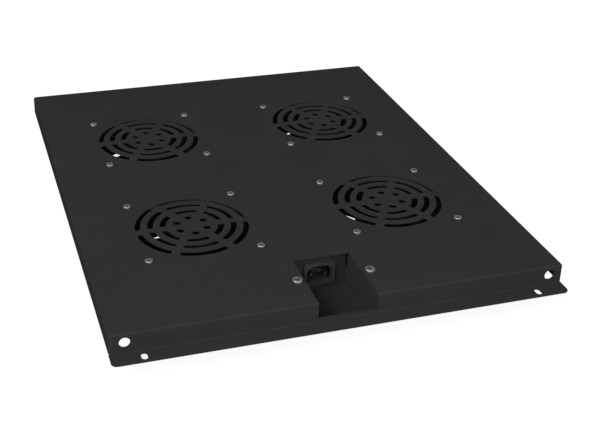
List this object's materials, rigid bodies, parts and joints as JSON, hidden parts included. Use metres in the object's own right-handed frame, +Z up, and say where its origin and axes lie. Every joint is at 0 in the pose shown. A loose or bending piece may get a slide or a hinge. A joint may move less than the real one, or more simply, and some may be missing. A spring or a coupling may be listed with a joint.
{
  "type": "rack fan tray",
  "caption": "Bent steel cabinet roof tray with mains fans under stamped slotted grilles, a front mounting flange and a recessed mains inlet.",
  "frame": {"origin": "on the plane that the tray stands on, below the middle of its outline", "axes": "+X to the right seen from the flange, +Y from the flange to the rear, +Z up, from the fans to the tray's top"},
  "size_m": [0.416, 0.5236, 0.0416],
  "materials": {
    "powder_coat": "matt black powder coat with a fine texture",
    "zinc": "bright zinc plate",
    "inlet_plastic": "satin black moulding",
    "nickel": "nickel plate",
    "cast_frame": "black paint on a die casting",
    "terminal_plastic": "matt black moulding",
    "bronze": "oiled sintered bronze",
    "lamination": "bare lamination edges",
    "copper": "varnished copper wire",
    "impeller_plastic": "matt black moulding",
    "rotor_steel": "drawn steel",
    "bright_steel": "ground steel"
  },
  "bodies": {
    "tray": {"tray_plate": "powder_coat", "fan_screws": "zinc", "fan_nuts": "zinc", "inlet_bracket": "powder_coat", "bracket_screws": "zinc", "bracket_nuts": "zinc", "inlet_housing": "inlet_plastic", "inlet_pins": "nickel", "fan_frame_front_left": "cast_frame", "terminal_block_front_left": "terminal_plastic", "terminal_tabs_front_left": "nickel", "bearing_bush_front_left": "bronze", "stator_core_front_left": "lamination", "stator_coils_front_left": "copper", "fan_frame_front_right": "cast_frame", "terminal_block_front_right": "terminal_plastic", "terminal_tabs_front_right": "nickel", "bearing_bush_front_right": "bronze", "stator_core_front_right": "lamination", "stator_coils_front_right": "copper", "fan_frame_rear_left": "cast_frame", "terminal_block_rear_left": "terminal_plastic", "terminal_tabs_rear_left": "nickel", "bearing_bush_rear_left": "bronze", "stator_core_rear_left": "lamination", "stator_coils_rear_left": "copper", "fan_frame_rear_right": "cast_frame", "terminal_block_rear_right": "terminal_plastic", "terminal_tabs_rear_right": "nickel", "bearing_bush_rear_right": "bronze", "stator_core_rear_right": "lamination", "stator_coils_rear_right": "copper"},
    "rotor_front_left": {"impeller_front_left": "impeller_plastic", "rotor_cup_front_left": "rotor_steel", "rotor_cage_front_left": "rotor_steel", "shaft_front_left": "bright_steel", "shaft_ring_front_left": "bright_steel"},
    "rotor_front_right": {"impeller_front_right": "impeller_plastic", "rotor_cup_front_right": "rotor_steel", "rotor_cage_front_right": "rotor_steel", "shaft_front_right": "bright_steel", "shaft_ring_front_right": "bright_steel"},
    "rotor_rear_left": {"impeller_rear_left": "impeller_plastic", "rotor_cup_rear_left": "rotor_steel", "rotor_cage_rear_left": "rotor_steel", "shaft_rear_left": "bright_steel", "shaft_ring_rear_left": "bright_steel"},
    "rotor_rear_right": {"impeller_rear_right": "impeller_plastic", "rotor_cup_rear_right": "rotor_steel", "rotor_cage_rear_right": "rotor_steel", "shaft_rear_right": "bright_steel", "shaft_ring_rear_right": "bright_steel"}
  },
  "joints": [
    {"name": "spin_front_left", "type": "hinge", "parent": "tray", "child": "rotor_front_left", "pos_m": [-0.1, -0.08975, 0.012], "axis": [0, 0, 1], "continuous": true},
    {"name": "spin_front_right", "type": "hinge", "parent": "tray", "child": "rotor_front_right", "pos_m": [0.1, -0.08975, 0.012], "axis": [0, 0, 1], "continuous": true},
    {"name": "spin_rear_left", "type": "hinge", "parent": "tray", "child": "rotor_rear_left", "pos_m": [-0.1, 0.11025, 0.012], "axis": [0, 0, 1], "continuous": true},
    {"name": "spin_rear_right", "type": "hinge", "parent": "tray", "child": "rotor_rear_right", "pos_m": [0.1, 0.11025, 0.012], "axis": [0, 0, 1], "continuous": true}
  ]
}
